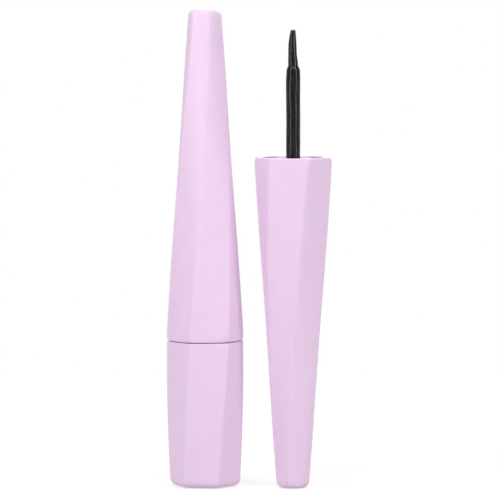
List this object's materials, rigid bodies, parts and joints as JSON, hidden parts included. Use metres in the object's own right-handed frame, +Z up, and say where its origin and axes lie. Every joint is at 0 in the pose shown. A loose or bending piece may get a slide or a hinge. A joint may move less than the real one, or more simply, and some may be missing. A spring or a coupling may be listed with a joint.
{
  "type": "liquid eyeliner pen",
  "caption": "Twisted six-sided eyeliner bottle with a tall tapering screw cap that carries a dip applicator, and a second cap drawn out and stood on its narrow end.",
  "frame": {"origin": "centre of the foot of the bottle, on the surface that the pen stands on", "axes": "+Z up along the closed pen's axis, +X towards the drawn cap, front towards -Y"},
  "size_m": [0.0444, 0.0236, 0.128],
  "materials": {
    "lilac_shell": "satin",
    "vial_plastic": "natural, slightly milky",
    "wiper_plastic": "soft, slightly milky",
    "inner_cap_plastic": "satin",
    "washer_rubber": "matte",
    "stem_plastic": "wet gloss",
    "brush_fibre": "inked bristle",
    "ink": "liquid"
  },
  "bodies": {
    "bottle": {"bottle_shell": "lilac_shell", "ink_vial": "vial_plastic", "neck_wiper": "wiper_plastic", "ink": "ink"},
    "cap_seal": {"cap_washer": "washer_rubber"},
    "cap": {"cap_shell": "lilac_shell", "inner_cap": "inner_cap_plastic", "wand_stem": "stem_plastic", "brush_tip": "brush_fibre"},
    "drawn_cap": {"drawn_cap_shell": "lilac_shell", "drawn_inner_cap": "inner_cap_plastic", "drawn_cap_washer": "washer_rubber", "drawn_wand_stem": "stem_plastic", "drawn_brush_tip": "brush_fibre"}
  },
  "joints": [
    {"name": "cap_lift", "type": "slide", "parent": "bottle", "child": "cap_seal", "axis": [0, 0, 1], "range_m": [0, 0.055]},
    {"name": "cap_turn", "type": "hinge", "parent": "cap_seal", "child": "cap", "pos_m": [0, 0, 0.0393], "axis": [0, 0, 1], "range_deg": [0, 540]},
    {"name": "drawn_cap_lift", "type": "slide", "parent": "bottle", "child": "drawn_cap", "axis": [0, 0, 1], "range_m": [0, 0.05]}
  ]
}
